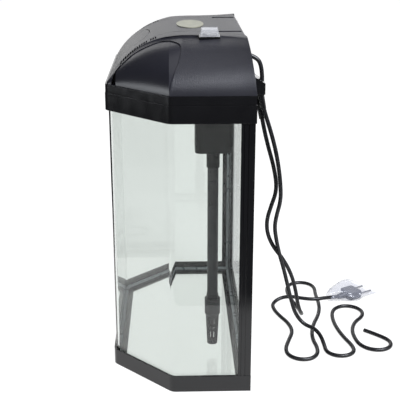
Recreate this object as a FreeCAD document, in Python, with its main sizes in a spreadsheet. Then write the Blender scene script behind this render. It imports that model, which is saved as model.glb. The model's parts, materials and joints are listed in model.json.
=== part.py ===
"""A small bow-cornered aquarium whose hood holds the lamp and the filter.

Frame: +X to the right, +Y to the back, +Z up, in millimetres. The origin is on the floor, under
the middle of the tank and its cable box. Driving sizes are cells of the sheet "Sizes".
"""
import FreeCAD, Part
import math
import os
import re

import Sketcher
from FreeCAD import Placement, Rotation, Vector

os.makedirs("parts", exist_ok=True)
doc = FreeCAD.newDocument("aquarium")
sheet = doc.addObject("Spreadsheet::Sheet", "Sizes")

SIZES = {
    # plan of the tank: a half hexagon whose chamfers are at 45 degrees
    "rim_half": 186, "rim_back": 76, "rim_front": 98, "front_half": 110, "mitre": 0.41421,
    "bend": 12, "base_inset": 1, "glass_inset": 3.8, "glass": 4, "pane_inset": 8.1,
    # levels of the frames
    "base_high": 21, "ledge_low": 2, "ledge_high": 5, "ledge_inset": 18, "floor_glass": 5,
    "rim_low": 338, "lip_low": 352, "lip_high": 355, "lip_inset": 15, "rim_high": 358.5,
    "deck_low": 366.5, "deck_high": 369, "band_inset": 0.5, "band_wall": 3, "skirt_wall": 2,
    # silicone and corner posts
    "bead": 3.2, "post_inset": 1.2, "post_leg": 16, "post_wall": 2.6,
    # hood
    "crown_high": 424.5, "crown_front": 4, "arc_front": 96, "wall": 2.5, "cover_inset": 1.5,
    "waist_half": 67, "waist_back": 13, "seam_gap": 0.8, "flange": 9, "lean": 7,
    "wall_top": 412, "hinge_back": 69.5, "hinge_high": 410, "hinge_pin": 1.5, "hinge_barrel": 3.2,
    "hinge_at": 71, "hinge_slack": 0.05, "flap_pin": 0.6, "flap_barrel": 1.25,
    # filter tray in the hood
    "tray_left": 140, "tray_right": 126, "tray_front": 4.5, "tray_back": 57.5, "tray_low": 328,
    "tray_high": 385, "tray_wall": 2, "tray_lip": 3,
    # pump, riser and strainer
    "pump_x": 100, "pump_y": 31, "pump_half": 22.5, "pump_low": 286, "riser_radius": 6.8,
    "riser_bore": 5.3, "riser_low": 79, "socket_radius": 8.1, "socket_low": 264,
    "rotor_radius": 6, "wheel_radius": 10.5, "shaft_radius": 1, "strainer_low": 24,
    # lamp
    "lamp_half": 120, "lamp_front": 28, "lamp_back": 2, "lamp_high": 383,
    # switch on the hood
    "switch_x": 104, "switch_y": 26, "switch_z": 422.6, "switch_tilt": 8,
    # cable box on the back of the rim
    "box_left": 25, "box_right": 57, "cord": 5.5,
}
for row, (name, value) in enumerate(SIZES.items(), 1):
    sheet.set(f"A{row}", name)
    sheet.set(f"B{row}", str(value))
    sheet.setAlias(f"B{row}", name)
doc.recompute()


def size(name):
    """The value that the sheet holds under this alias."""
    return float(sheet.get(name))


def cell(text):
    """The same formula with each alias written as a reference to the sheet."""
    return re.sub(r"[a-z_]{3,}", lambda m: "Sizes." + m.group() if m.group() in SIZES else m.group(), text)


def bind(item, **formulas):
    """Binds properties of an object to formulas on the sheet."""
    for prop, text in formulas.items():
        item.setExpression(prop.replace("__", "."), cell(str(text)))
    return item


# ---- short names for the primitives and the booleans -------------------------------------------
def moved_to(item, place):
    x, y, z = place
    return bind(item, Placement__Base__x=x, Placement__Base__y=y, Placement__Base__z=z)


def box(name, sizes, corner):
    item = doc.addObject("Part::Box", name)
    bind(item, Length=sizes[0], Width=sizes[1], Height=sizes[2])
    return moved_to(item, corner)


def rod(name, radius, height, base, along=Vector(0, 0, 1)):
    item = doc.addObject("Part::Cylinder", name)
    item.Placement = Placement(Vector(), Rotation(Vector(0, 0, 1), along))
    bind(item, Radius=radius, Height=height)
    return moved_to(item, base)


def cone(name, low, high, height, base):
    item = doc.addObject("Part::Cone", name)
    bind(item, Radius1=low, Radius2=high, Height=height)
    return moved_to(item, base)


def fuse(name, *shapes):
    item = doc.addObject("Part::MultiFuse", name)
    item.Shapes = list(shapes)
    return item


def cut(name, base, *tools):
    item = doc.addObject("Part::Cut", name)
    item.Base = base
    item.Tool = tools[0] if len(tools) == 1 else fuse(name + "_tools", *tools)
    return item


def common(name, *shapes):
    item = doc.addObject("Part::MultiCommon", name)
    item.Shapes = list(shapes)
    return item


def group(name, shapes):
    item = doc.addObject("Part::Compound", name)
    item.Links = list(shapes)
    return item


def formed(name, shape):
    """A piece whose form follows a formula, made with Part's own functions."""
    item = doc.addObject("Part::Feature", name)
    item.Shape = shape
    return item


def softened(name, base, radius, test):
    """Fillets the edges of a solid whose middle passes the test."""
    doc.recompute()
    item = doc.addObject("Part::Fillet", name)
    item.Base = base
    item.Edges = [(n, radius, radius) for n, edge in enumerate(base.Shape.Edges, 1) if test(edge)]
    return item


def upright(edge):
    return edge.BoundBox.ZLength > 1 and edge.BoundBox.XLength < 0.01 and edge.BoundBox.YLength < 0.01


# ---- bodies padded from the tank's plan ----------------------------------------------------------
def plan(inset):
    """Corners of the tank's plan, moved inwards by the inset, from the back right corner on."""
    side = f"rim_half - ({inset})"
    shoulder = f"rim_half - rim_front - front_half + ({inset}) * mitre"
    corner = f"front_half - ({inset}) * mitre"
    front = f"-rim_front + ({inset})"
    back = f"rim_back - ({inset})"
    return [(side, back), (side, shoulder), (corner, front),
            (f"-({corner})", front), (f"-({side})", shoulder), (f"-({side})", back)]


def rectangle(low_x, low_y, high_x, high_y):
    return [(low_x, low_y), (high_x, low_y), (high_x, high_y), (low_x, high_y)]


def pad(body, level, height, *loops):
    """Pads closed loops of lines whose corners are formulas on the sheet."""
    sketch = body.newObject("Sketcher::SketchObject", body.Name + "_sketch")
    plane = next(f for f in body.Origin.OriginFeatures if f.Role == "XY_Plane")
    sketch.AttachmentSupport = [(plane, "")]
    sketch.MapMode = "FlatFace"
    sketch.setExpression(".AttachmentOffset.Base.z", cell(str(level)))
    for number, loop in enumerate(loops):
        first, count = sketch.GeometryCount, len(loop)
        spread = 500 / (number + 1)
        ring = [Vector(spread * math.cos(k * math.tau / count), spread * math.sin(k * math.tau / count), 0)
                for k in range(count)]
        for k in range(count):
            sketch.addGeometry(Part.LineSegment(ring[k], ring[(k + 1) % count]), False)
        for k in range(count):
            ends = (first + k, 2, first + (k + 1) % count, 1)
            sketch.addConstraint(Sketcher.Constraint("Coincident", *ends))
        for k, (x, y) in enumerate(loop):
            for kind, text, value in (("DistanceX", x, ring[k].x), ("DistanceY", y, ring[k].y)):
                index = sketch.addConstraint(Sketcher.Constraint(kind, -1, 1, first + k, 1, value))
                sketch.setExpression(f"Constraints[{index}]", cell(str(text)))
    feature = body.newObject("PartDesign::Pad", body.Name + "_pad")
    feature.Profile = sketch
    feature.setExpression("Length", cell(str(height)))
    doc.recompute()
    return feature


def rounded(body, radius, test):
    """Rounds the upright edges of the body's last feature that pass the test."""
    tip = body.Tip
    names = [f"Edge{n}" for n, edge in enumerate(tip.Shape.Edges, 1) if upright(edge) and test(edge)]
    fillet = body.newObject("PartDesign::Fillet", body.Name + "_bend")
    fillet.Base = (tip, names)
    fillet.setExpression("Radius", cell(str(radius)))
    doc.recompute()
    return fillet


def amount(text):
    """The value of an inset written as aliases or numbers joined by plus signs."""
    words = str(text).replace(" ", "").split("+")
    return sum(size(word) if word in SIZES else float(word) for word in words)


def at_bend(inset):
    """A test that is true on the four upright edges where the plan at this inset bends."""
    moved = amount(inset)
    side = size("rim_half") - moved
    corner = size("front_half") - moved * size("mitre")
    shoulder = size("rim_half") - size("rim_front") - size("front_half") + moved * size("mitre")
    places = [(side, shoulder), (corner, moved - size("rim_front"))]

    def test(edge):
        here = edge.CenterOfMass
        return any(abs(abs(here.x) - x) < 0.3 and abs(here.y - y) < 0.3 for x, y in places)
    return test


def bent_ring(name, outer, inner, level, height):
    """A ring round the tank's plan between two insets, with its bends rounded."""
    body = doc.addObject("PartDesign::Body", name)
    pad(body, level, height, plan(outer), plan(inner))
    rounded(body, "bend", at_bend(outer))
    rounded(body, f"max(bend - (({inner}) - ({outer})); 1.5)", at_bend(inner))
    return body


# ---- tank ------------------------------------------------------------------------------------------
NODES = {}


def node(name, item):
    """Registers a finished piece under the name of its node."""
    item.Label = name
    NODES[name] = item
    return item


def tank():
    wall = bent_ring("base_wall", "base_inset", "glass_inset", "0", "base_high")
    ledge = bent_ring("base_ledge", "glass_inset", "ledge_inset", "ledge_low", "ledge_high - ledge_low")
    node("base_frame", fuse("base_frame_all", wall, ledge))

    inner = "glass_inset + glass"
    outline = plan("glass_inset")
    inside = [("-(" + x + ")", y) for x, y in plan(inner)]
    bent = doc.addObject("PartDesign::Body", "bent_pane")
    loop = [outline[5], outline[4], outline[3], outline[2], outline[1], outline[0]]
    back = "rim_back - (glass_inset)"
    right_inside = plan(inner)
    loop += [(right_inside[0][0], back), right_inside[1], right_inside[2], right_inside[3],
             right_inside[4], (right_inside[5][0], back)]
    pad(bent, "ledge_high", "lip_low - ledge_high", loop)
    rounded(bent, "bend", at_bend("glass_inset"))
    rounded(bent, "bend - glass", at_bend("glass_inset+glass"))
    node("glass_front", bent)

    pane_half = "(rim_half - glass_inset - glass - 0.3)"
    node("glass_back", box("back_pane", (f"2 * {pane_half}", "glass", "lip_low - ledge_high"),
                           (f"-{pane_half}", "rim_back - glass_inset - glass", "ledge_high")))

    floor = doc.addObject("PartDesign::Body", "floor_pane")
    pad(floor, "ledge_high", "floor_glass", plan("pane_inset"))
    rounded(floor, "bend - glass", at_bend("pane_inset"))
    node("glass_bottom", floor)

    seal = bent_ring("floor_seal", "glass_inset + glass", "glass_inset + glass + bead",
                     "ledge_high + floor_glass", "bead")
    node("silicone_floor", seal)
    for side, sign in (("left", -1), ("right", 1)):
        near = f"{sign} * (rim_half - glass_inset - glass)"
        edge = near if sign < 0 else f"{near} - bead"
        bead = box("bead_" + side, ("bead", "bead", "lip_low - ledge_high - floor_glass - bead"),
                   (edge, "rim_back - glass_inset - glass - bead", "ledge_high + floor_glass + bead"))
        node("silicone_" + side, bead)

        post = doc.addObject("PartDesign::Body", "post_" + side)
        out = f"{sign} * (rim_half - post_inset)"
        skin = f"{sign} * (rim_half - post_inset - post_wall)"
        far = f"{sign} * (rim_half - post_inset - post_leg)"
        rear = "rim_back - post_inset"
        rear_skin = "rim_back - post_inset - post_wall"
        front = "rim_back - post_inset - post_leg"
        groove = f"{sign} * (rim_half - post_inset - 0.6)"
        loop = [(out, rear), (far, rear), (far, rear_skin), (skin, rear_skin), (skin, front), (out, front)]
        for start in (3, 8):
            loop += [(out, f"{front} + {start}"), (groove, f"{front} + {start}"),
                     (groove, f"{front} + {start} + 1"), (out, f"{front} + {start} + 1")]
        pad(post, "base_high", "rim_low - base_high", loop)
        node("corner_post_" + side, post)

    rim = bent_ring("rim_wall", "0", "glass_inset", "rim_low", "rim_high - rim_low")
    lip = bent_ring("rim_lip", "glass_inset", "lip_inset", "lip_low", "lip_high - lip_low")
    _, (side, shoulder), (corner, front), *_ = plan("lip_inset")
    tall, reach = "lip_high - lip_low", "rim_half"
    front_part = box("lip_front_zone", (f"2 * ({corner})", f"{shoulder} - ({front}) + 20", tall),
                     (f"-({corner})", f"{front} - 20", "lip_low"))
    left_part = box("lip_left_zone", (reach, f"{shoulder} + {reach}", tall),
                    (f"-({corner}) - {reach}", f"-{reach}", "lip_low"))
    right_part = box("lip_right_zone", (reach, f"{shoulder} + {reach}", tall), (corner, f"-{reach}", "lip_low"))
    for name, zone in (("front", front_part), ("left", left_part), ("right", right_part)):
        node("top_lip_" + name, common("lip_" + name, lip, zone))
    rest = cut("lip_rest", lip, front_part, left_part, right_part)
    node("top_frame", fuse("top_frame_all", rim, rest))


# ---- hood: band, deck and cover ------------------------------------------------------------------
def hood_frame():
    band = bent_ring("hood_band", "band_inset", "band_inset + band_wall", "rim_high", "deck_high - rim_high")
    skirt = bent_ring("hood_skirt", "glass_inset + skirt_wall", "glass_inset + skirt_wall + skirt_wall",
                      "lip_high", "deck_low - lip_high")
    deck = doc.addObject("PartDesign::Body", "hood_deck")
    tray = rectangle("-tray_left - 1", "tray_front - 1", "tray_right + 1", "tray_back + 1")
    lamp = rectangle("-lamp_half + 4", "-lamp_front + 4", "lamp_half - 4", "-lamp_back - 4")
    feed = rectangle("-58", "-74", "58", "-36")
    pad(deck, "deck_low", "deck_high - deck_low", plan("band_inset + band_wall"), tray, lamp, feed)
    rounded(deck, "bend - band_wall", at_bend("band_inset+band_wall"))
    node("hood_frame", fuse("hood_frame_all", band, skirt, deck))


def seam(y):
    """Half width of the lid at this depth: its seams are arcs in plan, narrowest at the waist."""
    rise = size("front_half") - size("waist_half")
    run = size("arc_front") - size("waist_back")
    radius = (run ** 2 + rise ** 2) / (2 * rise)
    return size("waist_half") + radius - math.sqrt(radius ** 2 - (y + size("waist_back")) ** 2)


def arc_radius():
    """Radius of the arc that the hood's front follows from the flat crown down to the deck."""
    rise = size("crown_high") - size("deck_high")
    run = size("arc_front") - size("crown_front")
    return (run ** 2 + rise ** 2) / (2 * rise)


def ridge(y, sunk=0):
    """Height of the hood's middle strip at this depth, or of the line sunk square to its surface."""
    radius = arc_radius()
    run = max(0, -size("crown_front") - y)
    return size("crown_high") - radius + math.sqrt((radius - sunk) ** 2 - run ** 2)


def shoulder(y):
    """Half width of the cover where it meets the deck."""
    inset = size("cover_inset")
    chamfer = y + size("rim_front") + size("front_half") - inset * math.sqrt(2)
    return min(size("rim_half") - inset, chamfer)


def dome_section(y, inward):
    """Closed section of the right dome at this depth: inward is 0 outside, a wall's thickness inside."""
    deck, top = size("deck_high"), ridge(y, inward)
    low = deck - (1 if inward else 0)
    near, far = seam(y) + inward, shoulder(y) - inward
    turns = [k * math.pi / 12 for k in range(7)]
    points = [Vector(near + (far - near) * math.cos(a), y, deck + (top - deck) * math.sin(a)) for a in turns]
    curve = Part.BSplineCurve()
    curve.interpolate(points, InitialTangent=Vector(0, 0, 1), FinalTangent=Vector(-1, 0, 0))
    if not inward:
        corners = [points[-1], Vector(near, y, low), points[0]]
    else:
        hem, past = top - size("flange"), near - inward - 1
        corners = [points[-1], Vector(near, y, hem), Vector(past, y, hem), Vector(past, y, low),
                   Vector(far, y, low), points[0]]
    lines = [Part.LineSegment(a, b).toShape() for a, b in zip(corners, corners[1:])]
    return Part.Wire([curve.toShape()] + lines)


def dome(inward, depths):
    return Part.makeLoft([dome_section(y, inward) for y in depths], True, False)


def behind(inward):
    """The block behind the hood's leaning back face, or behind the inside of that wall."""
    block = Part.makeBox(500, 100, 200, Vector(-250, size("rim_back") - inward, size("deck_high") - 50))
    tilt = math.degrees(math.atan2(size("lean"), size("crown_high") - size("deck_high")))
    block.rotate(Vector(0, size("rim_back") - inward, size("deck_high")), Vector(1, 0, 0), tilt)
    return block


# Outline of the smooth panel sunk into the dome over the chamfer, as depth and height.
PANEL = [(-90, 369.2), (-87.6, 378.6), (-84, 384.6), (-79, 390.1), (-73, 395.4), (-67.1, 400.3), (-61.3, 405),
         (-54.2, 408.9), (-47.1, 412.2), (-40, 414.9), (-32.9, 417.1), (-27.1, 418.2), (-21.2, 419),
         (-16.6, 418.8), (-12, 418.1), (-9.2, 417.1), (-7.5, 415.2), (-7.6, 412.1), (-8.9, 407.1),
         (-11.2, 401), (-14.6, 394.7), (-16.9, 389.1), (-19.1, 383.2), (-20.6, 376.1), (-21.5, 369.2)]


def panel_skin(outer, sunk, chamfer, steps):
    """The skin that the sunk panel takes off the right dome."""
    outline = [Vector(103, y, z) for y, z in PANEL]
    block = Part.Face(Part.makePolygon(outline + outline[:1])).extrude(Vector(90, 0, 0))
    core = dome(sunk, chamfer).fuse(dome(sunk, steps))
    return block.common(outer).cut(core)


def hood_cover():
    """Two domes with slots, joined by the back wall under the lid's hinge."""
    wall, back = size("wall"), size("rim_back")
    fold = size("rim_half") - size("rim_front") - size("front_half") + 0.6
    steps = [fold + (back + 4 - fold) * k / 5 for k in range(6)]
    chamfer = [-94, -90, -80, -68, -54, -38, fold]
    hollow_chamfer = [-84, -76, -66, -54, -38, fold]
    outer = dome(0, chamfer).fuse(dome(0, steps)).cut(behind(0))
    inner = dome(wall, hollow_chamfer).fuse(dome(wall, steps)).cut(behind(wall))
    right = outer.cut(inner).cut(panel_skin(outer, 0.9, hollow_chamfer, steps))
    slots = []
    for k in range(16):
        y = -79 + k * 2.7
        slots.append(Part.makeBox(10 + 0.4 * k, 1.8, 60, Vector(seam(y) + 3.4, y, ridge(y) - 30)))
    right = right.cut(Part.makeCompound(slots))
    left = right.mirror(Vector(), Vector(1, 0, 0))

    plate = Part.makeBox(240, wall, size("wall_top") - size("deck_high"),
                         Vector(-120, back - wall, size("deck_high")))
    tilt = math.degrees(math.atan2(size("lean"), size("crown_high") - size("deck_high")))
    plate.rotate(Vector(0, back, size("deck_high")), Vector(1, 0, 0), tilt)
    plate = plate.cut(Part.makeBox(500, 50, 20, Vector(-250, back - 30, size("deck_high") - 20)))
    barrel, pin = size("hinge_barrel"), size("hinge_pin")
    axis_y, axis_z, middle = size("hinge_back"), size("hinge_high"), size("hinge_at")
    notches, eyes, holes = [], [], [switch_space(), lead_space()]
    for sign in (-1, 1):
        notches.append(Part.makeBox(24, 30, 20, Vector(sign * middle - 12, axis_y - 15, axis_z - 6)))
        for offset in (-8.7, 8.7):
            eyes.append(Part.makeCylinder(barrel, 6, Vector(sign * middle + offset - 3, axis_y, axis_z),
                                          Vector(1, 0, 0)))
            foot = Vector(sign * middle + offset - 3, axis_y - wall / 2, axis_z - 9)
            eyes.append(Part.makeBox(6, wall, 9, foot))
        holes.append(Part.makeCylinder(pin, 40, Vector(sign * middle - 20, axis_y, axis_z), Vector(1, 0, 0)))
    shell = plate.cut(notches).fuse(eyes + [right, left]).cut(holes)
    node("hood_cover", formed("cover", shell.removeSplitter()))


def hinge_pins():
    pins = [rod(f"pin_{side}", "hinge_pin", "24", (f"{sign} * hinge_at - 12", "hinge_back", "hinge_high"),
                Vector(1, 0, 0)) for side, sign in (("left", -1), ("right", 1))]
    node("lid_hinge_pins", group("hinge_pins", pins))


# ---- lid and feeding flap ----------------------------------------------------------------------------
def strip():
    """The hood's middle strip as one thin curved band, as wide as the lid's front."""
    wall, radius = size("wall"), arc_radius()
    centre = Vector(0, -size("crown_front"), size("crown_high") - radius)
    sweep = math.asin((size("arc_front") - size("crown_front")) / radius)

    def on_arc(r, turn):
        return centre + Vector(0, -r * math.sin(turn), r * math.cos(turn))
    outer = Part.Arc(on_arc(radius, sweep), on_arc(radius, sweep / 2), on_arc(radius, 0)).toShape()
    under = radius - wall
    inner = Part.Arc(on_arc(under, 0), on_arc(under, sweep / 2), on_arc(under, sweep)).toShape()
    back = size("rim_back") - size("lean")
    tail = 4
    corners = [on_arc(radius, 0), Vector(0, back - tail, size("crown_high"))]
    low = size("wall_top") + 1.2
    skirt = [Vector(0, back + 0.2, size("crown_high") - tail), Vector(0, back + 1.2, low),
             Vector(0, back + 1.2 - wall, low), Vector(0, back - wall + 0.4, size("crown_high") - wall - 1),
             Vector(0, back - wall - 2, size("crown_high") - wall), on_arc(radius - wall, 0)]
    bend = Part.Arc(corners[-1], Vector(0, back - 0.9, size("crown_high") - 1.1), skirt[0]).toShape()
    lines = [Part.LineSegment(*corners).toShape()]
    lines += [Part.LineSegment(a, b).toShape() for a, b in zip(skirt, skirt[1:])]
    front = Part.LineSegment(on_arc(radius - wall, sweep), on_arc(radius, sweep)).toShape()
    wire = Part.Wire(Part.__sortEdges__([outer, bend, inner, front] + lines))
    band = Part.Face(wire).extrude(Vector(400, 0, 0))
    band.translate(Vector(-200, 0, 0))
    keel = Part.makeBox(500, 20, 10, Vector(-250, -size("arc_front") - 12, size("deck_high") - 9.6))
    return band.cut(keel)


def lid_plan():
    """Block over the lid's plan, a gap inside the two seams."""
    front, back, gap = -size("arc_front") - 4, size("rim_back") + 4, size("seam_gap")
    depths = [front + (back - front) * k / 8 for k in range(9)]
    sides = []
    for sign in (-1, 1):
        curve = Part.BSplineCurve()
        curve.interpolate([Vector(sign * (seam(y) - gap), y, 300) for y in depths])
        sides.append(curve.toShape())
    caps = [Part.LineSegment(Vector(-seam(y) + gap, y, 300), Vector(seam(y) - gap, y, 300)).toShape()
            for y in (front, back)]
    wire = Part.Wire(Part.__sortEdges__(sides + caps))
    return Part.Face(wire).extrude(Vector(0, 0, 300))


FLAP_TILT = 44


def flap_point(x, up, out=0):
    """A point in the flap's slanting plane: up from the lid's front edge, out from the surface."""
    turn = math.radians(FLAP_TILT)
    return Vector(x, -size("arc_front") + up * math.cos(turn) - out * math.sin(turn),
                  size("deck_high") + up * math.sin(turn) + out * math.cos(turn))


def flap_prism(inset):
    """Block over the flap's plan: a narrow foot at the hinge, sides that widen upwards, a round top."""
    foot, shoulder_x, top = 14 - inset, 49 - inset, 68 - inset
    left, right = flap_point(-foot, -6, -30), flap_point(foot, -6, -30)
    knee_left, knee_right = flap_point(-foot, 8, -30), flap_point(foot, 8, -30)
    low_right, high_right = flap_point(shoulder_x - 5, 41, -30), flap_point(shoulder_x - 11, 62 - inset, -30)
    low_left, high_left = flap_point(5 - shoulder_x, 41, -30), flap_point(11 - shoulder_x, 62 - inset, -30)
    edges = [Part.LineSegment(left, right), Part.LineSegment(right, knee_right),
             Part.LineSegment(knee_right, low_right),
             Part.Arc(low_right, flap_point(shoulder_x, 53, -30), high_right),
             Part.Arc(high_right, flap_point(0, top, -30), high_left),
             Part.Arc(high_left, flap_point(-shoulder_x, 53, -30), low_left),
             Part.LineSegment(low_left, knee_left), Part.LineSegment(knee_left, left)]
    wire = Part.Wire([edge.toShape() for edge in edges])
    return Part.Face(wire).extrude(flap_point(0, 0, 60) - flap_point(0, 0, 0))


def flap_axis():
    """Middle of the feeding flap's hinge, inside the lid's lower edge."""
    return Vector(0, -93.5, 370.65)


def lid():
    band = strip()
    panel = band.common(lid_plan()).cut(flap_prism(0))
    middle, axis_y, axis_z = size("hinge_at"), size("hinge_back"), size("hinge_high")
    barrel, pin = size("hinge_barrel"), size("hinge_pin") + size("hinge_slack")
    adds, cuts = [], []
    for sign in (-1, 1):
        adds.append(Part.makeCylinder(barrel, 10, Vector(sign * middle - 5, axis_y, axis_z), Vector(1, 0, 0)))
        adds.append(Part.makeBox(10, 2.4, 9, Vector(sign * middle - 5, axis_y - 1.2, axis_z + 1)))
        cuts.append(Part.makeBox(11, 30, 3, Vector(sign * middle - 5.5, 36, size("crown_high") - 1.6)))
        cuts.append(Part.makeCylinder(pin, 40, Vector(sign * middle - 20, axis_y, axis_z), Vector(1, 0, 0)))
    axis = flap_axis()
    cuts.append(Part.makeCylinder(size("flap_pin"), 40, axis - Vector(20, 0, 0), Vector(1, 0, 0)))
    panel = panel.fuse(adds).cut(cuts)
    node("hood_lid", formed("lid_panel", panel.removeSplitter()))

    leaf = band.common(flap_prism(size("seam_gap")))
    below = Part.makeBox(60, 40, 40, Vector(-30, -40, -20))
    below.rotate(Vector(), Vector(1, 0, 0), 61)
    below.translate(axis)
    leaf = leaf.cut(below)
    hinge = Part.makeCylinder(size("flap_barrel"), 20, axis - Vector(10, 0, 0), Vector(1, 0, 0))
    leaf = leaf.fuse(hinge)
    bore = size("flap_pin") + size("hinge_slack")
    leaf = leaf.cut(Part.makeCylinder(bore, 40, axis - Vector(20, 0, 0), Vector(1, 0, 0)))
    node("feeding_flap", formed("flap_leaf", leaf.removeSplitter()))
    start = ("-18", str(axis.y), str(axis.z))
    node("flap_hinge_pin", rod("flap_rod", "flap_pin", "36", start, Vector(1, 0, 0)))

    badge = doc.addObject("Part::Feature", "badge")
    oval = Part.Ellipse(Vector(0, 5, size("crown_high")), 39, 17.3).toShape()
    badge.Shape = Part.Face(Part.Wire([oval])).extrude(Vector(0, 0, 0.8))
    node("lid_plaque", badge)


# ---- filter: tray, media, spray bar, pump, riser, strainer ----------------------------------------
def filter_tray():
    length, width = "tray_left + tray_right", "tray_back - tray_front"
    corner = ("-tray_left", "tray_front", "tray_low")
    shell = box("tray_block", (length, width, "tray_high - tray_low"), corner)
    shell = softened("tray_soft", shell, 3, upright)
    hollow = box("tray_hollow", (f"{length} - 2 * tray_wall", f"{width} - 2 * tray_wall", "tray_high"),
                 ("-tray_left + tray_wall", "tray_front + tray_wall", "tray_low + tray_wall"))
    lip = box("tray_rim", (f"{length} + 2 * tray_lip", f"{width} + 2 * tray_lip", "tray_wall"),
              ("-tray_left - tray_lip", "tray_front - tray_lip", "deck_high"))
    drains = []
    for k in range(14):
        corner = (f"-tray_left + 12 + 8 * {k}", "tray_front + 11", "tray_low - 4")
        drains.append(box(f"drain_{k}", ("3", "30", "10"), corner))
    inlet = rod("tray_inlet", "socket_radius - 2", "20", ("pump_x", "pump_y", "tray_low - 5"))
    node("filter_tray", cut("tray_all", fuse("tray_shell", shell, lip), hollow, inlet, *drains))
    node("filter_tray_lid", box("tray_cover", (f"{length} - 1", f"{width} - 1", "tray_wall"),
                                ("-tray_left + 0.5", "tray_front + 0.5", "tray_high + 0.3")))
    corner = ("-tray_left + tray_wall + 2", "tray_front + tray_wall + 1", "tray_low + tray_wall")
    node("filter_sponge", box("sponge", ("196", f"{width} - 2 * tray_wall - 2", "18"), corner))
    rings, to_back = [], Vector(0, 1, 0)
    for k in range(12):
        for line in range(3):
            x, z = f"-tray_left + 14 + {k} * 15", "tray_low + tray_wall + 24"
            ring = rod(f"ring_out_{k}_{line}", "5", "9", (x, f"tray_front + 9 + {line} * 14", z), to_back)
            hole = rod(f"ring_in_{k}_{line}", "2.6", "30", (x, "tray_front", z), to_back)
            rings.append(cut(f"ring_{k}_{line}", ring, hole))
    node("ceramic_rings", group("rings", rings))

    bar_z = "tray_low + 46"
    bar = rod("bar", "5", "pump_x + 128", ("-128", "pump_y", bar_z), Vector(1, 0, 0))
    bar_bore = rod("bar_bore", "3.6", "pump_x + 125", ("-125", "pump_y", bar_z), Vector(1, 0, 0))
    spouts = [rod(f"spout_{k}", "1.2", "12", (f"-116 + {k} * 17", "pump_y", f"{bar_z} - 12"))
              for k in range(11)]
    node("spray_bar", cut("spray_all", bar, bar_bore, *spouts))
    rise = rod("elbow_rise", "6.1", "tray_high - tray_low - 4", ("pump_x", "pump_y", "tray_low - 1"))
    rise_bore = rod("elbow_bore", "4", "tray_high - tray_low - 8.5", ("pump_x", "pump_y", "tray_low - 2"))
    mouth = rod("elbow_mouth", "5", "20", ("pump_x - 20", "pump_y", bar_z), Vector(1, 0, 0))
    node("outlet_elbow", cut("elbow_all", rise, rise_bore, mouth))


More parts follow.
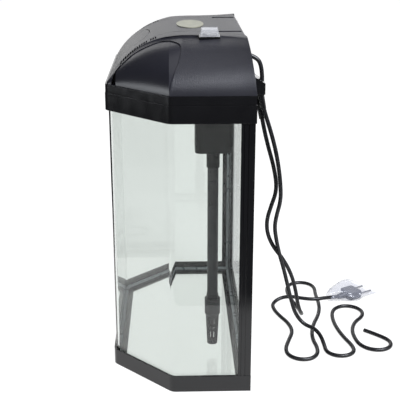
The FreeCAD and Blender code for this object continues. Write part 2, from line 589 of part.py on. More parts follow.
def pump():
    half, low = "pump_half", "pump_low"
    block = box("pump_block", (f"2 * {half} - 2", f"2 * {half}", "tray_low - pump_low"),
                (f"pump_x - {half} + 1", f"pump_y - {half}", low))
    block = softened("pump_soft", block, 7, upright)
    block = softened("pump_hem", block, 1.2, lambda e: e.CenterOfMass.z < size("pump_low") + 0.1)
    chamber = rod("pump_chamber", "wheel_radius + 2", "14.5", ("pump_x", "pump_y", low))
    well = rod("rotor_well", "rotor_radius + 0.8", "18", ("pump_x", "pump_y", f"{low} + 14"))
    tip = rod("shaft_seat", "shaft_radius", "3", ("pump_x", "pump_y", f"{low} + 31.9"))
    duct = box("outlet_duct", ("5", "5", "40"), ("pump_x - 15", "pump_y - 2.5", f"{low} + 6"))
    turn = box("outlet_turn", ("18", "5", "5"), ("pump_x - 15", "pump_y - 2.5", "tray_low - 5"))
    mouth = rod("outlet_mouth", "6.1", "5", ("pump_x", "pump_y", "tray_low - 5"))
    coil_out = box("coil_space", ("25", "36", "15"), ("pump_x - 5.5", "pump_y - 18", f"{low} + 15"))
    coil_in = rod("well_wall", "rotor_radius + 2.4", "30", ("pump_x", "pump_y", low))
    coil_space = cut("coil_pocket", coil_out, coil_in)
    node("pump_body", cut("pump_all", block, chamber, well, tip, duct, turn, mouth, coil_space))

    core = box("coil_core", ("24", "35", "14"), ("pump_x - 5", "pump_y - 17.5", f"{low} + 15.5"))
    core_hole = rod("core_hole", "rotor_radius + 2.8", "30", ("pump_x", "pump_y", low))
    node("motor_stator", cut("stator_all", core, core_hole))

    plate = rod("cover_plate", "wheel_radius + 2", "2.5", ("pump_x", "pump_y", low))
    cup = cone("inlet_cup", "socket_radius + 0.2", "socket_radius + 2.2", "6",
               ("pump_x", "pump_y", f"{low} - 6"))
    socket = rod("inlet_socket", "socket_radius", "pump_low - 6 - socket_low",
                 ("pump_x", "pump_y", "socket_low"))
    eye = rod("inlet_eye", "5", "60", ("pump_x", "pump_y", "socket_low"))
    bore = rod("socket_bore", "riser_radius", "12", ("pump_x", "pump_y", "socket_low"))
    cover = cut("inlet_bored", fuse("inlet_shell", plate, cup, socket), eye, bore)
    spider = [box(f"spider_{k}", sizes, corner) for k, (sizes, corner) in enumerate([
        (("11", "1.6", "2"), ("pump_x - 5.5", "pump_y - 0.8", f"{low} + 0.2")),
        (("1.6", "11", "2"), ("pump_x - 0.8", "pump_y - 5.5", f"{low} + 0.2"))])]
    hub = rod("spider_hub", "2.2", "2", ("pump_x", "pump_y", f"{low} + 0.2"))
    seat = rod("hub_seat", "shaft_radius", "4", ("pump_x", "pump_y", f"{low} + 1"))
    node("pump_inlet_cover", cut("inlet_all", fuse("inlet_spider", cover, hub, *spider), seat))
    node("pump_shaft", rod("shaft", "shaft_radius", "32.9", ("pump_x", "pump_y", f"{low} + 1")))

    slack = rod("rotor_bore", "shaft_radius + 0.06", "60", ("pump_x", "pump_y", low))
    magnet = rod("magnet_rod", "rotor_radius", "15.5", ("pump_x", "pump_y", f"{low} + 15"))
    node("rotor_magnet", cut("magnet", magnet, slack))
    disc = rod("wheel_disc", "wheel_radius", "1.5", ("pump_x", "pump_y", f"{low} + 11.5"))
    neck = rod("wheel_neck", "4", "4", ("pump_x", "pump_y", f"{low} + 11"))
    hub = rod("wheel_hub", "3", "8.5", ("pump_x", "pump_y", f"{low} + 3"))
    blades = []
    for k in range(6):
        blade = box(f"blade_{k}", ("wheel_radius", "1.2", "8"), ("pump_x", "pump_y", f"{low} + 3.8"))
        blade.Placement.Rotation = Rotation(Vector(0, 0, 1), k * 60)
        blades.append(blade)
    slack_wheel = rod("wheel_bore", "shaft_radius + 0.06", "60", ("pump_x", "pump_y", low))
    trim = rod("blade_trim", "wheel_radius", "20", ("pump_x", "pump_y", low))
    wheel = doc.addObject("Part::MultiCommon", "wheel_trimmed")
    wheel.Shapes = [fuse("wheel_blades", disc, neck, hub, *blades), trim]
    node("impeller", cut("impeller_all", wheel, slack_wheel))


def riser():
    top = "socket_low + 12"
    tube = rod("riser_rod", "riser_radius", f"{top} - riser_low", ("pump_x", "pump_y", "riser_low"))
    ring = rod("riser_ring", "riser_radius + 0.8", "2.5", ("pump_x", "pump_y", "riser_low + 13"))
    bore = rod("riser_hole", "riser_bore", "400", ("pump_x", "pump_y", "0"))
    node("riser_tube", cut("riser_all", fuse("riser_shell", tube, ring), bore))

    low, collar = "strainer_low", "riser_low - 12"
    sleeve = rod("strainer_sleeve", "10", "21", ("pump_x", "pump_y", collar))
    step = cone("strainer_step", "8.6", "10", "2", ("pump_x", "pump_y", f"{collar} - 2"))
    taper = cone("strainer_taper", "6.6", "8.6", f"{collar} - 2 - {low}", ("pump_x", "pump_y", low))
    inside = cone("strainer_inside", "4.8", "6.6", f"{collar} - {low} - 2",
                  ("pump_x", "pump_y", f"{low} + 2"))
    socket = rod("strainer_socket", "riser_radius + 0.05", "40", ("pump_x", "pump_y", "riser_low - 0.4"))
    throat = rod("strainer_throat", "6", "20", ("pump_x", "pump_y", f"{collar} - 2"))
    slots = []
    for tier in range(2):
        for k in range(10):
            corner = ("pump_x", "pump_y", f"{low} + 4 + 18.5 * {tier}")
            slot = box(f"slot_{tier}_{k}", ("30", "2.2", "15"), corner)
            slot.Placement.Rotation = Rotation(Vector(0, 0, 1), k * 36)
            slots.append(slot)
    shell = fuse("strainer_shell", sleeve, step, taper)
    node("strainer", cut("strainer_all", shell, inside, socket, throat, *slots))


# ---- lamp ----------------------------------------------------------------------------------------------
def lamp():
    length, width = "2 * lamp_half", "lamp_front - lamp_back"
    corner = ("-lamp_half", "-lamp_front", "deck_high")
    shell = box("lamp_block", (length, width, "lamp_high - deck_high"), corner)
    shell = softened("lamp_soft", shell, 2.5, lambda e: e.CenterOfMass.z > size("lamp_high") - 0.1)
    hollow = box("lamp_hollow", (f"{length} - 5", f"{width} - 5", "lamp_high - deck_high - 2.5"),
                 ("-lamp_half + 2.5", "-lamp_front + 2.5", "deck_high"))
    ears = [box(f"lamp_ear_{k}", ("10", width, "3"), (f"{place} - 5", "-lamp_front", "deck_high"))
            for k, place in enumerate(("-lamp_half - 4", "lamp_half + 4"))]
    holes, screws = [], []
    for x in ("-lamp_half - 4.5", "lamp_half + 4.5"):
        for y in ("-lamp_front + 6", "-lamp_back - 6"):
            tag = len(holes)
            holes.append(rod(f"lamp_hole_{tag}", "1.3", "10", (x, y, "deck_high - 1")))
            head = rod(f"screw_head_{tag}", "2.8", "1.6", (x, y, "deck_high + 3"))
            slot = box(f"screw_slot_{tag}", ("6", "0.8", "1"), (f"{x} - 3", f"{y} - 0.4", "deck_high + 4"))
            screws.append(fuse(f"screw_{tag}", cut(f"screw_top_{tag}", head, slot),
                               rod(f"screw_stem_{tag}", "1.2", "3.1", (x, y, "deck_high"))))
    node("lamp_housing", cut("lamp_all", fuse("lamp_shell", shell, *ears), hollow, *holes))
    node("lamp_screws", group("screws", screws))
    node("lamp_board", box("board", (f"{length} - 8", f"{width} - 8", "1.4"),
                           ("-lamp_half + 4", "-lamp_front + 4", "lamp_high - 4")))
    leds = []
    for k in range(12):
        for line in range(2):
            corner = (f"-110 + {k} * 19.5", f"-lamp_front + 6.5 + 8 * {line}", "lamp_high - 5.4")
            leds.append(box(f"led_{k}_{line}", ("5", "5", "1.4"), corner))
    node("lamp_leds", group("leds", leds))
    node("lamp_lens", box("lens", (f"{length} - 5.2", f"{width} - 5.2", "2"),
                          ("-lamp_half + 2.6", "-lamp_front + 2.6", "deck_high + 0.3")))


# ---- switch on the right dome ------------------------------------------------------------------------
def switch_place():
    """Where the switch stands: its own Z leaves the dome, its own Y runs to the back."""
    return Placement(Vector(size("switch_x"), size("switch_y"), size("switch_z")),
                     Rotation(Vector(0, 1, 0), size("switch_tilt")))


def switch_space():
    """Hole in the cover for the switch: its body's well and the bezel's seat."""
    space = Part.makeBox(12.2, 20.8, 40, Vector(-6.1, -10.4, -30)).fuse(
        Part.makeBox(16.2, 25.2, 10, Vector(-8.1, -12.6, -0.8)))
    space.Placement = switch_place()
    return space


def placed(name, shape, place):
    item = formed(name, shape)
    item.Placement = place
    return item


def switch():
    place = switch_place()
    bezel = Part.makeBox(16, 25, 2.8, Vector(-8, -12.5, -0.8))
    bezel = bezel.makeFillet(1.2, [e for e in bezel.Edges if e.BoundBox.ZMin > 1.9])
    case = Part.makeBox(12, 20.6, 17, Vector(-6, -10.3, -17.8))
    well = Part.makeBox(8.6, 17.4, 14, Vector(-4.3, -8.7, -8))
    pivot_hole = Part.makeCylinder(0.8, 10.6, Vector(-5.3, 0, 0.4), Vector(1, 0, 0))
    frame = bezel.fuse(case).cut(well).cut(pivot_hole)
    for y in (-6, 0, 6):
        frame = frame.fuse(Part.makeBox(4.8, 0.8, 7, Vector(-2.4, y - 0.4, -24.8)))
    node("switch_bezel", placed("switch_frame", frame.removeSplitter(), place))

    outline = [(-7.9, 1.2), (-7.9, 4.6), (0, 3.2), (7.9, 4.6), (7.9, 1.2), (3, -3.4), (-3, -3.4)]
    rocker = along_x(outline, -4, 4)
    rocker = rocker.fuse(Part.makeCylinder(0.74, 10.2, Vector(-5.1, 0, 0.4), Vector(1, 0, 0)))
    rocker.rotate(Vector(0, 0, 0.4), Vector(1, 0, 0), -8)
    node("switch_rocker", placed("rocker", rocker.removeSplitter(), place))

    def hip(low, top, high):
        base = Part.makePolygon([Vector(x * low[0], y * low[1], 2) for x, y in
                                 ((-1, -1), (1, -1), (1, 1), (-1, 1), (-1, -1))])
        lid = Part.makePolygon([Vector(x * top[0], y * top[1], high) for x, y in
                                ((-1, -1), (1, -1), (1, 1), (-1, 1), (-1, -1))])
        return Part.makeLoft([base, lid], True, True)
    boot = hip((7, 11.8), (5.4, 9.6), 10.2).cut(hip((6.2, 11), (4.6, 8.8), 9.4))
    node("switch_boot", placed("boot", boot, place))


# ---- cable box, leads, cords and plugs ----------------------------------------------------------------
def along_x(points, low, high):
    outline = [Vector(low, y, z) for y, z in points]
    return Part.Face(Part.makePolygon(outline + outline[:1])).extrude(Vector(high - low, 0, 0))


def cable_box():
    back, low, high = size("rim_back"), size("box_left"), size("box_right")
    shell = along_x([(back, 372), (98, 358), (98, 344), (back, 344)], low, high)
    room = along_x([(back + 2, 367.5), (96, 355.5), (96, 346), (back + 2, 346)], low + 2, high - 2)
    for tube in (LAMP_LEAD, LAMP_CORD):
        shell = shell.cut(tube_solid(tube, size("cord") / 2))
    shell = shell.cut(room).fuse(strain_relief(LAMP_CORD, 344.5))
    node("cable_box", formed("box_shell", shell.removeSplitter()))
    clamp = along_x([(back + 3, 344), (97.5, 344), (97.5, 329), (back + 3, 326)], low + 7, high - 12)
    clamp = clamp.cut(tube_solid(PUMP_CORD, size("cord") / 2)).fuse(strain_relief(PUMP_CORD, 329.5))
    node("cable_clamp", formed("clamp_block", clamp.removeSplitter()))


def strain_relief(route, level):
    """A tapered sleeve round the first run of a cord, from this level down."""
    start, heading = Vector(*route[0]), Vector(*route[1]) - Vector(*route[0])
    top = start + heading * ((level - start.z) / heading.z)
    sleeve = Part.makeCone(4.6, 3.5, 20, top, heading)
    return sleeve.cut(tube_solid(route, size("cord") / 2))


def bend_radii(route):
    """Largest arc radius at each inner point of a route: 0.45 of the shorter run, by half the turn."""
    radii = []
    for a, b, c in zip(route, route[1:], route[2:]):
        before, after = Vector(*b) - Vector(*a), Vector(*c) - Vector(*b)
        turn = before.getAngle(after)
        radii.append(0.45 * min(before.Length, after.Length) / math.tan(turn / 2))
    return radii


def route_wire(route):
    """Straight runs joined by tangent arcs."""
    edges, start = [], Vector(*route[0])
    for a, b, c, radius in zip(route, route[1:], route[2:], bend_radii(route)):
        a, b, c = Vector(*a), Vector(*b), Vector(*c)
        before, after = (b - a).normalize(), (c - b).normalize()
        turn = before.getAngle(after)
        reach = radius * math.tan(turn / 2)
        first, last = b - before * reach, b + after * reach
        sag = radius * (1 / math.cos(turn / 2) - 1)
        middle = b + (after - before).normalize() * sag
        edges += [Part.LineSegment(start, first).toShape(), Part.Arc(first, middle, last).toShape()]
        start = last
    edges.append(Part.LineSegment(start, Vector(*route[-1])).toShape())
    return Part.Wire(edges)


def tube_solid(route, radius):
    wire = route_wire(route)
    heading = Vector(*route[1]) - Vector(*route[0])
    ring = Part.Wire([Part.Circle(Vector(*route[0]), heading, radius).toShape()])
    return wire.makePipeShell([ring], True, False)


# Routes of the lamp's short lead and of the two cords: out of the box, down behind the tank and
# in loose loops over the surface that it stands on.
LAMP_LEAD = [(40, 70, 393.5), (40, 86, 389.8), (40, 95, 377.5), (40, 95.2, 357)]
PUMP_CORD = [
    (40, 92, 334), (40, 96, 310), (38, 104, 276), (36, 114, 243), (34, 119, 212), (31, 112, 188),
    (28, 107, 168), (26, 108, 148), (24, 117, 127), (21, 132, 107), (18, 144, 84), (16, 151, 60),
    (13, 155, 38), (4, 161, 18), (-14, 167, 6), (-38, 165, 3.1), (-66, 159, 3.1), (-93, 155, 3.1),
    (-113, 156.5, 3.1), (-128, 164, 3.1), (-134.5, 179, 3.1), (-128, 194, 3.1), (-112.5, 200, 3.1),
    (-88, 197.5, 3.1), (-64, 198, 3.1), (-38, 196, 3.1), (-14, 190, 3.1), (8, 181, 3.1),
    (32, 174, 3.1), (58, 171, 3.1), (82, 174, 3.1), (101, 171.5, 3.1), (113.5, 160.5, 3.1),
    (114, 144, 3.1), (102, 131.8, 3.1), (84, 130.5, 3.1), (60, 138, 3.1), (34, 147, 3.1),
    (8, 144, 3.1), (-16, 134, 3.1), (-37, 128, 3.1), (-54.5, 127.5, 4), (-66, 139.5, 8),
    (-64.5, 156, 11.5), (-56, 173, 11.5), (-52, 191, 11.5), (-60, 210, 10.5), (-71, 229, 6.6),
]
LAMP_CORD = [
    (51, 90.5, 352), (51, 97, 324), (49, 106, 298), (47.5, 113.5, 272), (46, 118.5, 248),
    (44, 122, 224), (42, 123.5, 200), (38, 119, 178), (34, 117, 160), (32, 120, 141), (30, 125, 119),
    (28, 132, 96), (27, 138, 72), (27, 144, 48), (28, 150, 28), (32, 162, 13), (42, 176, 11.5),
    (56, 182.5, 7.5), (74, 184.5, 3.1), (94.6, 184, 3.1), (105.8, 195.2, 3.1), (105.8, 211, 3.1),
    (94.6, 222.2, 3.1), (77, 222, 3.1), (55, 215.5, 3.1), (31, 211, 3.1), (6, 209, 3.1),
    (-20, 211, 3.1), (-37.5, 218, 3.1), (-47, 232, 3.1), (-43, 248.5, 3.1), (-28.5, 257.5, 3.1),
    (-10.5, 254.5, 3.1), (8, 239, 3.1), (32, 230.5, 3.1), (55, 229.5, 3.1), (76, 232.5, 3.1),
    (89.5, 244, 3.1), (92, 261, 3.1), (82, 274.4, 3.1), (65.4, 276.7, 3.1), (48, 263.5, 3.1),
    (33, 247.6, 3.1),
]


def plug(name, end, heading):
    """A flat two-pin plug whose neck meets the cord's end: grip and two round pins."""
    body = Part.makeBox(24, 26, 12, Vector(0, -13, -6))
    body = body.makeFillet(5, [e for e in body.Edges if upright(e)])
    body = body.makeFillet(1.5, [e for e in body.Edges if e.BoundBox.ZLength < 0.01])
    neck = Part.makeCone(3.6, 5.5, 14, Vector(-14, 0, 0), Vector(1, 0, 0))
    pins = [Part.makeCylinder(2, 19, Vector(24, y, 0), Vector(1, 0, 0)) for y in (-9.5, 9.5)]
    shape = body.fuse(neck)
    place = Placement(Vector(*end), Rotation(Vector(0, 0, 1), heading))
    place = place.multiply(Placement(Vector(14, 0, 0), Rotation()))
    node(name, placed(name + "_grip", shape.removeSplitter(), place))
    node(name + "_pins", placed(name + "_contacts", Part.makeCompound(pins), place))


def cords():
    for name, route in (("lamp_lead", LAMP_LEAD), ("pump_cord", PUMP_CORD), ("lamp_cord", LAMP_CORD)):
        tube, length = tube_solid(route, size("cord") / 2), route_wire(route).Length
        section = math.pi * (size("cord") / 2) ** 2
        print(f"{name} length {length:.0f}, volume ratio {tube.Volume / section / length:.4f}, "
              f"smallest radius {min(bend_radii(route)):.1f}")
        node(name, formed(name + "_tube", tube))
    start, along = lead_start()
    gland = Part.makeCone(4.6, 3.6, 9, start + along, along).fuse(Part.makeCylinder(5.8, 4, start, along))
    gland = gland.cut(tube_solid(LAMP_LEAD, size("cord") / 2))
    node("lamp_lead_grommet", formed("grommet", gland.removeSplitter()))
    last, before = PUMP_CORD[-1], PUMP_CORD[-2]
    heading = math.degrees(math.atan2(last[1] - before[1], last[0] - before[0]))
    plug("pump_plug", last, heading)


def lead_start():
    """Where the lamp's lead starts inside the hood, and the direction in which it leaves."""
    start = Vector(*LAMP_LEAD[0])
    return start, (Vector(*LAMP_LEAD[1]) - start).normalize()


def lead_space():
    """Hole in the cover's back wall for the lamp lead's grommet."""
    start, along = lead_start()
    return Part.makeCylinder(6, 12, start - along * 4, along)


def build():
    for make in (tank, hood_frame, hood_cover, hinge_pins, lid, filter_tray, pump, riser, lamp, switch,
                 cable_box, cords):
        make()
    doc.recompute()
    faults = [item.Name for item in doc.Objects if {"Invalid", "Error"} & set(item.State)]
    for name, item in NODES.items():
        if item.Shape.isNull() or not item.Shape.isValid() or not item.Shape.Solids:
            faults.append(name)
    if faults:
        raise SystemExit(f"not built: {faults}")
    for name, item in NODES.items():
        item.Shape.exportStep(f"parts/{name}.step")
        spread = item.Shape.BoundBox
        print(f"{name:22} solids {len(item.Shape.Solids):3} "
              f"x {spread.XMin:7.1f} {spread.XMax:7.1f} y {spread.YMin:7.1f} {spread.YMax:7.1f} "
              f"z {spread.ZMin:7.1f} {spread.ZMax:7.1f}")


build()
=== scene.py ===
"""Looks of the small bow-cornered aquarium: materials, cords, sponge, bag, camera and studio."""
import json
import math

import bmesh
import bpy
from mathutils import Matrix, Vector, noise


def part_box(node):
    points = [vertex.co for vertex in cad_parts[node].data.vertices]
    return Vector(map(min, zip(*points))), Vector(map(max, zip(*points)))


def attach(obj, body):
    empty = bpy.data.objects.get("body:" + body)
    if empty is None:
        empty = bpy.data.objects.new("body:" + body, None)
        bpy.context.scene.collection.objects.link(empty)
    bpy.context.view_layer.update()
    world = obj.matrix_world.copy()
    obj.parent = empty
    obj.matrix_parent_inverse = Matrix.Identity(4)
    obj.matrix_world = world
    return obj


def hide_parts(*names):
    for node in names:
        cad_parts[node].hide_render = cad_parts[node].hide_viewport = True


MM = 0.001
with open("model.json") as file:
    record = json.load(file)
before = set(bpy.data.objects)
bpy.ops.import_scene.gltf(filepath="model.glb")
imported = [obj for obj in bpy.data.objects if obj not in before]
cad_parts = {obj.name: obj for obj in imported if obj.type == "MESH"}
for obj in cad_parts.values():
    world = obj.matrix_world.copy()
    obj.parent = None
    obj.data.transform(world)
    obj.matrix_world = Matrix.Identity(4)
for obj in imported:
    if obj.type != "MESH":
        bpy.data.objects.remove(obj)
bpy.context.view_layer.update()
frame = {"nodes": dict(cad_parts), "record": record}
NODES = frame["nodes"]


# ---- camera -----------------------------------------------------------------------------------------
def add_camera():
    pitch, yaw = math.radians(18.53), math.radians(1.67)
    data = bpy.data.cameras.new("view")
    data.lens, data.sensor_width = 78.3, 36
    camera = bpy.data.objects.new("view", data)
    camera.location = (1.1266, -0.0149, 0.5648)
    look = Vector((-math.cos(yaw) * math.cos(pitch), math.sin(yaw) * math.cos(pitch), -math.sin(pitch)))
    camera.rotation_mode = "QUATERNION"
    camera.rotation_quaternion = look.to_track_quat("-Z", "Y")
    bpy.context.collection.objects.link(camera)
    bpy.context.scene.camera = camera


# ---- cords ------------------------------------------------------------------------------------------
LAMP_LEAD = [(40, 70, 393.5), (40, 86, 389.8), (40, 95, 377.5), (40, 95.2, 357)]
PUMP_CORD = [
    (40, 92, 334), (40, 96, 310), (38, 104, 276), (36, 114, 243), (34, 119, 212), (31, 112, 188),
    (28, 107, 168), (26, 108, 148), (24, 117, 127), (21, 132, 107), (18, 144, 84), (16, 151, 60),
    (13, 155, 38), (4, 161, 18), (-14, 167, 6), (-38, 165, 3.1), (-66, 159, 3.1), (-93, 155, 3.1),
    (-113, 156.5, 3.1), (-128, 164, 3.1), (-134.5, 179, 3.1), (-128, 194, 3.1), (-112.5, 200, 3.1),
    (-88, 197.5, 3.1), (-64, 198, 3.1), (-38, 196, 3.1), (-14, 190, 3.1), (8, 181, 3.1),
    (32, 174, 3.1), (58, 171, 3.1), (82, 174, 3.1), (101, 171.5, 3.1), (113.5, 160.5, 3.1),
    (114, 144, 3.1), (102, 131.8, 3.1), (84, 130.5, 3.1), (60, 138, 3.1), (34, 147, 3.1),
    (8, 144, 3.1), (-16, 134, 3.1), (-37, 128, 3.1), (-54.5, 127.5, 4), (-66, 139.5, 8),
    (-64.5, 156, 11.5), (-56, 173, 11.5), (-52, 191, 11.5), (-60, 210, 10.5), (-71, 229, 6.6),
]
LAMP_CORD = [
    (51, 90.5, 352), (51, 97, 324), (49, 106, 298), (47.5, 113.5, 272), (46, 118.5, 248),
    (44, 122, 224), (42, 123.5, 200), (38, 119, 178), (34, 117, 160), (32, 120, 141), (30, 125, 119),
    (28, 132, 96), (27, 138, 72), (27, 144, 48), (28, 150, 28), (32, 162, 13), (42, 176, 11.5),
    (56, 182.5, 7.5), (74, 184.5, 3.1), (94.6, 184, 3.1), (105.8, 195.2, 3.1), (105.8, 211, 3.1),
    (94.6, 222.2, 3.1), (77, 222, 3.1), (55, 215.5, 3.1), (31, 211, 3.1), (6, 209, 3.1),
    (-20, 211, 3.1), (-37.5, 218, 3.1), (-47, 232, 3.1), (-43, 248.5, 3.1), (-28.5, 257.5, 3.1),
    (-10.5, 254.5, 3.1), (8, 239, 3.1), (32, 230.5, 3.1), (55, 229.5, 3.1), (76, 232.5, 3.1),
    (89.5, 244, 3.1), (92, 261, 3.1), (82, 274.4, 3.1), (65.4, 276.7, 3.1), (48, 263.5, 3.1),
    (33, 247.6, 3.1),
]
CORD = 5.5


def add_cord(name, route, node):
    """A cord as one smooth open spline along the route, in place of the node's stiff tube."""
    data = bpy.data.curves.new(name, "CURVE")
    data.dimensions, data.resolution_u = "3D", 14
    data.bevel_depth, data.bevel_resolution, data.use_fill_caps = CORD / 2 * MM, 5, True
    line = data.splines.new("NURBS")
    line.points.add(len(route) - 1)
    for point, place in zip(line.points, route):
        point.co = (*(v * MM for v in place), 1)
    line.order_u = 3
    line.use_endpoint_u = True
    cord = bpy.data.objects.new(name, data)
    bpy.context.collection.objects.link(cord)
    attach(cord, "tank")
    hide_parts(node)
    return cord


# ---- materials --------------------------------------------------------------------------------------
class Surface:
    """One procedural material: a Principled shader and short ways to add detail to it."""

    def __init__(self, name, colour, roughness, **sockets):
        self.material = bpy.data.materials.new(name)
        self.material.use_nodes = True
        self.tree = self.material.node_tree
        self.shader = self.tree.nodes["Principled BSDF"]
        self.shader.inputs["Base Color"].default_value = (*colour, 1)
        self.shader.inputs["Roughness"].default_value = roughness
        for socket, value in sockets.items():
            self.shader.inputs[socket.replace("_", " ")].default_value = value
        self.place = self.node("ShaderNodeTexCoord").outputs["Object"]
        self.normal = None

    def feed(self, socket, value):
        """Links another node's output to the socket, or sets the socket to a plain value."""
        if isinstance(value, bpy.types.NodeSocket):
            self.tree.links.new(value, socket)
        else:
            socket.default_value = value

    def node(self, kind, **inputs):
        made = self.tree.nodes.new(kind)
        for key, value in inputs.items():
            self.feed(made.inputs[key.replace("_", " ")], value)
        return made

    def noise(self, scale, detail=3.0, stretch=None, rough=0.55):
        place = self.place
        if stretch:
            place = self.node("ShaderNodeMapping", Vector=place, Scale=stretch).outputs["Vector"]
        return self.node("ShaderNodeTexNoise", Vector=place, Scale=scale, Detail=detail,
                         Roughness=rough).outputs["Fac"]

    def cells(self, scale):
        return self.node("ShaderNodeTexVoronoi", Vector=self.place, Scale=scale).outputs["Distance"]

    def calc(self, operation, first, second=0.0):
        made = self.tree.nodes.new("ShaderNodeMath")
        made.operation = operation
        for socket, value in zip(made.inputs, (first, second)):
            self.feed(socket, value)
        return made.outputs["Value"]

    def spread(self, value, low, high, start=0.3, end=0.7):
        return self.node("ShaderNodeMapRange", Value=value, From_Min=start, From_Max=end, To_Min=low,
                         To_Max=high).outputs["Result"]

    def ramp(self, value, *stops):
        made = self.node("ShaderNodeValToRGB", Fac=value)
        ends = made.color_ramp.elements
        while len(ends) < len(stops):
            ends.new(0.5)
        for end, (place, colour) in zip(ends, stops):
            end.position, end.color = place, (*colour, 1)
        return made.outputs["Color"]

    def colour(self, source):
        self.feed(self.shader.inputs["Base Color"], source)
        return self

    def roughness(self, source):
        self.feed(self.shader.inputs["Roughness"], source)
        return self

    def face(self, made):
        """Takes the surface's normal from the node."""
        self.normal = made.outputs["Normal"]
        self.feed(self.shader.inputs["Normal"], self.normal)
        return self

    def bump(self, height, strength, depth):
        """Adds relief: depth is the height of the relief in millimetres."""
        made = self.node("ShaderNodeBump", Height=height, Strength=strength, Distance=depth * MM)
        if self.normal:
            self.feed(made.inputs["Normal"], self.normal)
        return self.face(made)

    def soft_edges(self, radius):
        """Rounds the shading of sharp edges over a radius in millimetres."""
        made = self.node("ShaderNodeBevel", Radius=radius * MM)
        made.samples = 4
        return self.face(made)


def hood_plastic():
    """Grained plastic that is smooth in the two sunk panels over the tank's bevelled corners."""
    s = Surface("hood_plastic", (0.022, 0.022, 0.027), 0.4, IOR=1.52)
    s.soft_edges(0.5)
    panel_side, panel_lean, panel_back, fade = 0.1028, 0.31, 0.1359, 0.0006
    place = s.node("ShaderNodeSeparateXYZ", Vector=s.place).outputs
    past_side = s.calc("SUBTRACT", s.calc("ABSOLUTE", place["X"]), panel_side)
    back_edge = s.calc("SUBTRACT", s.calc("MULTIPLY", place["Z"], panel_lean), panel_back)
    inside = s.calc("MINIMUM", past_side, s.calc("SUBTRACT", back_edge, place["Y"]))
    grain = s.spread(inside, 1, 0, 0, fade)
    s.colour(s.ramp(s.noise(9), (0.3, (0.010, 0.010, 0.014)), (0.7, (0.015, 0.015, 0.020))))
    s.roughness(s.spread(grain, 0.3, 0.4, 0, 1))
    s.bump(s.noise(900, 2), s.calc("MULTIPLY", grain, 0.9), 0.35)
    return s.bump(s.noise(500, 2), 0.08, 0.1).material


def smooth_plastic(name, colour, rough, edge=0.6, index=1.5):
    s = Surface(name, colour, rough, IOR=index)
    s.soft_edges(edge)
    light = tuple(c * 1.35 for c in colour)
    s.colour(s.ramp(s.noise(14), (0.3, colour), (0.75, light)))
    s.roughness(s.spread(s.noise(55, 4), rough * 0.8, rough * 1.3))
    return s.bump(s.noise(240, 3), 0.12, 0.05).material


def pane(name, tint):
    """Float glass: a slab that refracts, with a faint green tint."""
    s = Surface(name, tint, 0.0, IOR=1.5, Transmission_Weight=1.0)
    s.roughness(s.spread(s.noise(22, 5), 0.0, 0.02, 0.45, 0.8))
    return s.material


def clear(name, tint, alpha, index, rough=0.0):
    """Thin clear wall: what isn't taken by the tint and the reflection passes straight through."""
    s = Surface(name, tint, rough, IOR=index, Alpha=alpha)
    s.roughness(s.spread(s.noise(22, 5), rough, rough + 0.03, 0.45, 0.8))
    return s.material


def steel(name, colour, rough):
    s = Surface(name, colour, rough, Metallic=1.0)
    s.roughness(s.spread(s.noise(90, 3, (1, 14, 14)), rough * 0.8, rough * 1.4))
    return s.bump(s.noise(900, 2, (1, 10, 10)), 0.1, 0.02).material


def foam():
    s = Surface("sponge", (0.03, 0.032, 0.036), 0.95)
    # painted shade: the colour goes near-black in the pits of the cells, where the bump is lowest, as shade
    # in the pores
    s.colour(s.ramp(s.cells(520), (0.1, (0.006, 0.006, 0.007)), (0.6, (0.05, 0.053, 0.058))))
    return s.bump(s.cells(520), 0.9, 0.7).material


def ceramic():
    s = Surface("ceramic", (0.72, 0.67, 0.58), 0.85)
    s.colour(s.ramp(s.noise(160, 5), (0.3, (0.60, 0.54, 0.45)), (0.7, (0.80, 0.76, 0.68))))
    return s.bump(s.noise(900, 4), 0.7, 0.25).material


def silicone():
    s = Surface("silicone", (0.55, 0.60, 0.60), 0.3, IOR=1.41, Transmission_Weight=0.6)
    s.roughness(s.spread(s.noise(80), 0.22, 0.45))
    return s.bump(s.noise(120, 3), 0.3, 0.3).material


def sheath():
    s = Surface("cord_sheath", (0.005, 0.005, 0.006), 0.36, IOR=1.42)
    s.colour(s.ramp(s.noise(35), (0.3, (0.004, 0.004, 0.005)), (0.7, (0.009, 0.009, 0.010))))
    s.roughness(s.spread(s.noise(300), 0.3, 0.48))
    return s.bump(s.noise(700, 2), 0.2, 0.06).material


def plaque():
    s = Surface("plaque", (0.20, 0.20, 0.15), 0.4)
    s.colour(s.ramp(s.noise(120, 5), (0.3, (0.15, 0.155, 0.11)), (0.7, (0.26, 0.25, 0.18))))
    return s.bump(s.noise(380, 3), 0.3, 0.1).material


def film():
    s = Surface("bag_film", (0.36, 0.37, 0.43), 0.14, IOR=1.6, Alpha=0.34)
    s.roughness(s.spread(s.noise(60, 4), 0.1, 0.25))
    return s.bump(s.noise(50, 3), 0.6, 1.2).material


def board():
    s = Surface("board", (0.78, 0.80, 0.78), 0.3)
    s.colour(s.ramp(s.noise(400, 2, (1, 6, 6)), (0.48, (0.80, 0.82, 0.80)), (0.52, (0.74, 0.77, 0.75))))
    return s.bump(s.noise(400, 2, (1, 6, 6)), 0.2, 0.04).material


def magnet():
    s = Surface("magnet", (0.05, 0.05, 0.055), 0.55, Metallic=0.4)
    s.roughness(s.spread(s.noise(700), 0.45, 0.7))
    return s.bump(s.noise(1400), 0.3, 0.05).material


def stator():
    s = Surface("stator", (0.10, 0.06, 0.04), 0.5, Metallic=0.3)
    s.colour(s.ramp(s.noise(900, 1, (0.02, 0.02, 1)), (0.4, (0.06, 0.04, 0.03)), (0.6, (0.16, 0.10, 0.07))))
    return s.bump(s.noise(900, 1, (0.02, 0.02, 1)), 0.5, 0.2).material


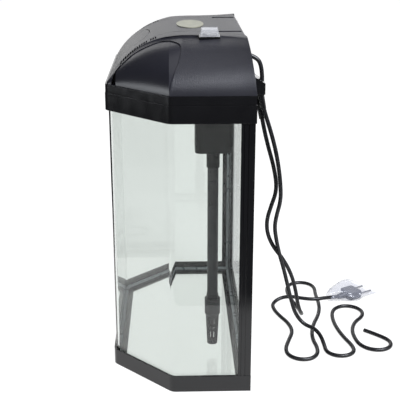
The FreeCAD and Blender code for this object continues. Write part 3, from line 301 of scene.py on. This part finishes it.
def led():
    s = Surface("led", (0.90, 0.78, 0.30), 0.25)
    s.colour(s.ramp(s.cells(300), (0.2, (0.92, 0.78, 0.28)), (0.7, (0.80, 0.72, 0.42))))
    return s.bump(s.cells(300), 0.2, 0.1).material


def dress():
    """Gives each CAD node the material of its slot; the back pane, seen edge-on, gets a darker copy of the
    glass, whose dark tint is painted shade.
    """
    black = (0.004, 0.004, 0.0045)
    made = {
        "hood_plastic": hood_plastic(), "frame_plastic": smooth_plastic("frame_plastic", black, 0.15),
        "filter_plastic": smooth_plastic("filter_plastic", (0.008, 0.008, 0.010), 0.34, 0.6, 1.4),
        "pump_plastic": smooth_plastic("pump_plastic", (0.003, 0.003, 0.003), 0.25, 0.6, 1.18),
        "impeller_plastic": smooth_plastic("impeller_plastic", (0.70, 0.70, 0.67), 0.35, 0.2),
        "lamp_plastic": smooth_plastic("lamp_plastic", (0.62, 0.62, 0.60), 0.35),
        "plug_plastic": smooth_plastic("plug_plastic", (0.016, 0.016, 0.018), 0.3, 0.8),
        "glass": pane("glass", (0.81, 0.84, 0.82)), "lens": clear("lens", (0.8, 0.83, 0.85), 0.2, 2.0),
        "boot": clear("boot", (0.8, 0.8, 0.82), 0.22, 3.0, 0.05), "silicone": silicone(), "plaque": plaque(),
        "pin_steel": steel("pin_steel", (0.55, 0.55, 0.57), 0.3),
        "plug_pin": steel("plug_pin", (0.72, 0.70, 0.66), 0.2),
        "sponge": foam(), "ceramic": ceramic(), "stator": stator(), "magnet": magnet(), "board": board(),
        "led": led(), "cord_sheath": sheath(),
    }
    for part in frame["record"]["subparts"]:
        item = NODES[part["node"]]
        item.data.materials.clear()
        item.data.materials.append(made[part["material_slot"]])
    # painted shade: the back pane is the same glass as the others, given a dark tint for how it looks edge-on
    NODES["glass_back"].data.materials[0] = clear("glass_rear", (0.05, 0.06, 0.06), 0.35, 1.8)
    return made


# ---- pieces made here -------------------------------------------------------------------------------
def add_piece(name, mesh, material):
    """A smooth-shaded piece of the tank's body with one material."""
    mesh.materials.append(material)
    for face in mesh.polygons:
        face.use_smooth = True
    item = bpy.data.objects.new(name, mesh)
    bpy.context.collection.objects.link(item)
    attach(item, "tank")
    return item


def add_sponge(material):
    """Open-cell foam: a block with soft corners and a ragged skin."""
    cuts, soft, sag, ragged = 34, 3 * MM, 0.3 * MM, 0.012
    low, high = (Vector(corner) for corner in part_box("filter_sponge"))
    half, middle = (high - low) / 2, (high + low) / 2
    form = bmesh.new()
    bmesh.ops.create_cube(form, size=2)
    bmesh.ops.subdivide_edges(form, edges=form.edges[:], cuts=cuts, use_grid_fill=True)
    for v in form.verts:
        place = Vector(v.co[k] * half[k] for k in range(3))
        core = Vector(max(-half[k] + soft, min(half[k] - soft, place[k])) for k in range(3))
        out = place - core
        if out.length > 1e-9:
            place = core + out.normalized() * soft
        grain = noise.noise(place * 700) * 0.5 + noise.noise(place * 240) * 0.5
        v.co = middle + place * (1 - ragged * abs(grain)) + Vector((0, 0, -sag))
    mesh = bpy.data.meshes.new("sponge_pad")
    form.to_mesh(mesh)
    form.free()
    pad = add_piece("sponge_pad", mesh, material)
    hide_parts("filter_sponge")


def add_bag(material):
    """Crumpled clear film round the pump's plug, gathered at its mouth and flat at its far end."""
    start, end = Vector((-64, 214, 9)), Vector((-104, 273, 9))
    mouth_wide, swell_wide, mouth_high, swell_high = 6, 24, 4.5, 7.5
    raised, lowest = 0.6, 0.8
    along = (end - start).normalized()
    side = along.cross(Vector((0, 0, 1))).normalized()
    rings, turns = 44, 56
    verts, faces = [], []
    for i in range(rings):
        t = i / (rings - 1)
        wide = mouth_wide + swell_wide * math.sin(min(1, t * 1.5) * math.pi / 2) ** 1.3
        high = mouth_high + swell_high * math.sin(math.pi * min(1, 0.06 + t * 0.95)) ** 0.7
        centre = start + (end - start) * t
        for k in range(turns):
            a = math.tau * k / turns
            fold = noise.noise(Vector((math.cos(a) * 1.2, math.sin(a) * 1.2, t * 3))) * 5
            crease = abs(noise.noise(Vector((math.cos(a) * 2.4, math.sin(a) * 2.4, t * 6)))) * 3.4
            reach = fold - crease
            across = (wide + reach) * math.cos(a)
            lift = (high + reach * 0.55) * math.sin(a)
            place = centre + side * across + Vector((0, 0, lift + raised))
            place.z = max(lowest, place.z)
            verts.append(place * MM)
    for i in range(rings - 1):
        for k in range(turns):
            a, b = i * turns + k, i * turns + (k + 1) % turns
            faces.append((a, b, b + turns, a + turns))
    mesh = bpy.data.meshes.new("plug_bag")
    mesh.from_pydata(verts, [], faces)
    bag = add_piece("plug_bag", mesh, material)


# ---- studio -----------------------------------------------------------------------------------------
def add_light(name, place, target, size, power, colour=(1, 1, 1)):
    data = bpy.data.lights.new(name, "AREA")
    data.shape, data.size, data.size_y = "RECTANGLE", size[0], size[1]
    data.energy, data.color = power, colour
    light = bpy.data.objects.new(name, data)
    light.location = place
    light.rotation_mode = "QUATERNION"
    light.rotation_quaternion = (Vector(target) - Vector(place)).to_track_quat("-Z", "Y")
    bpy.context.collection.objects.link(light)


def add_card(name, low, high, level, surface):
    """A flat card of the studio between two corners, which isn't part of the object."""
    (west, south), (east, north) = low, high
    mesh = bpy.data.meshes.new(name)
    mesh.from_pydata([(west, south, level), (east, south, level), (east, north, level), (west, north, level)],
                     [], [(0, 1, 2, 3)])
    mesh.materials.append(surface)
    card = bpy.data.objects.new(name, mesh)
    bpy.context.collection.objects.link(card)
    return card


def studio():
    """A glowing white floor, dark cards that only reflections see round the tank, and four lights."""
    floor = Surface("floor", (0.10, 0.10, 0.10), 0.7)
    floor.shader.inputs["Emission Color"].default_value = (1, 1, 1, 1)
    floor.shader.inputs["Emission Strength"].default_value = 1.0
    add_card("floor", (-9, -9), (9, 9), 0, floor.material)
    flag = Surface("flag", (0.01, 0.01, 0.01), 1.0)
    for name, low, high in (("flag_right", (0.42, -3), (4.5, 3)), ("flag_left", (-6, -3), (-0.6, 3)),
                            ("flag_front", (-0.6, -3), (0.42, -0.45)), ("flag_back", (-0.6, 0.6), (0.42, 3))):
        card = add_card(name, low, high, 0.002, flag.material)
        card.visible_camera = card.visible_diffuse = card.visible_shadow = card.visible_transmission = False
    middle = (0, 0, 0.25)
    add_light("side", (0.95, 0.95, 1.5), middle, (1.0, 0.7), 75, (0.90, 0.93, 1))
    add_light("top", (-0.1, 0.1, 1.8), middle, (1.2, 1.2), 3)
    add_light("front", (0.6, -1.6, 0.35), middle, (1.3, 0.5), 9, (0.91, 0.95, 1))
    add_light("rear", (-2.2, 0, 0.9), middle, (3.0, 1.5), 17)
    world = bpy.data.worlds.new("studio")
    world.use_nodes = True
    world.node_tree.nodes["Background"].inputs["Color"].default_value = (0.9, 0.93, 1, 1)
    world.node_tree.nodes["Background"].inputs["Strength"].default_value = 0.04
    bpy.context.scene.world = world
    bpy.context.scene.view_settings.view_transform = "Standard"


add_camera()
pump_flex = add_cord("pump_flex", PUMP_CORD, "pump_cord")
lamp_flex = add_cord("lamp_flex", LAMP_CORD, "lamp_cord")
lead_flex = add_cord("lead_flex", LAMP_LEAD, "lamp_lead")
looks = dress()
for flex in (pump_flex, lamp_flex, lead_flex):
    flex.data.materials.append(looks["cord_sheath"])
add_sponge(looks["sponge"])
add_bag(film())
studio()

bpy.context.view_layer.update()
